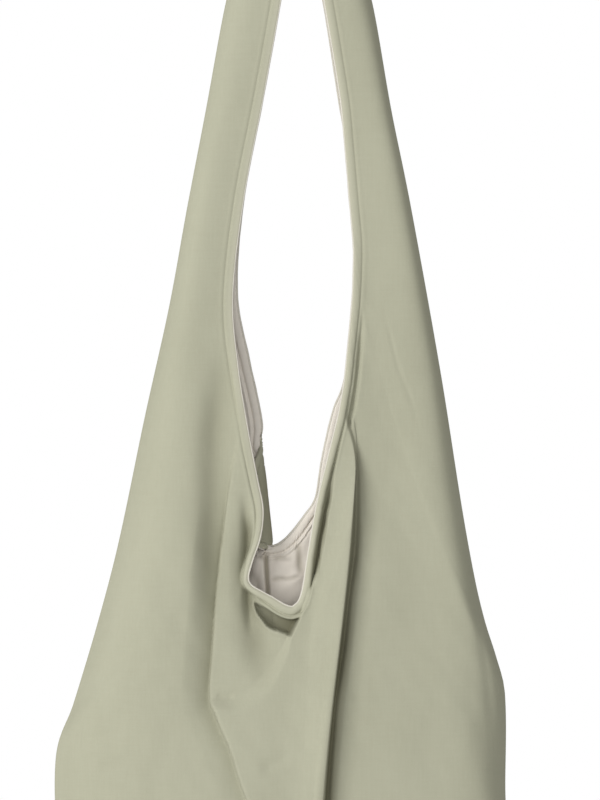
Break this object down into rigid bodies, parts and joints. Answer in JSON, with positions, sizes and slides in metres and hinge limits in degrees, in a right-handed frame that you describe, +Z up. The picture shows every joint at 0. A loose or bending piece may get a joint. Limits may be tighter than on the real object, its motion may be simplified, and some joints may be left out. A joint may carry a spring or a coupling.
{
  "type": "crossbody bag",
  "caption": "Slouchy crossbody bag of soft canvas with a pale lining: two panels sewn round a pouch whose wide arms join into its own shoulder strap, shown hanging.",
  "frame": {"origin": "underside of the strap's crown, in the middle of its width, where a shoulder or a peg carries the bag", "axes": "+Z up, the front of the bag faces -Y, +X to the right when the front is seen"},
  "size_m": [0.422, 0.0914, 1.0491],
  "materials": {
    "canvas": "smooth sage green cotton canvas",
    "lining": "plain pale pinkish cream cotton"
  },
  "bodies": {
    "root": {"front_panel": "canvas", "back_panel": "canvas", "front_lining": "lining", "back_lining": "lining"}
  },
  "joints": []
}
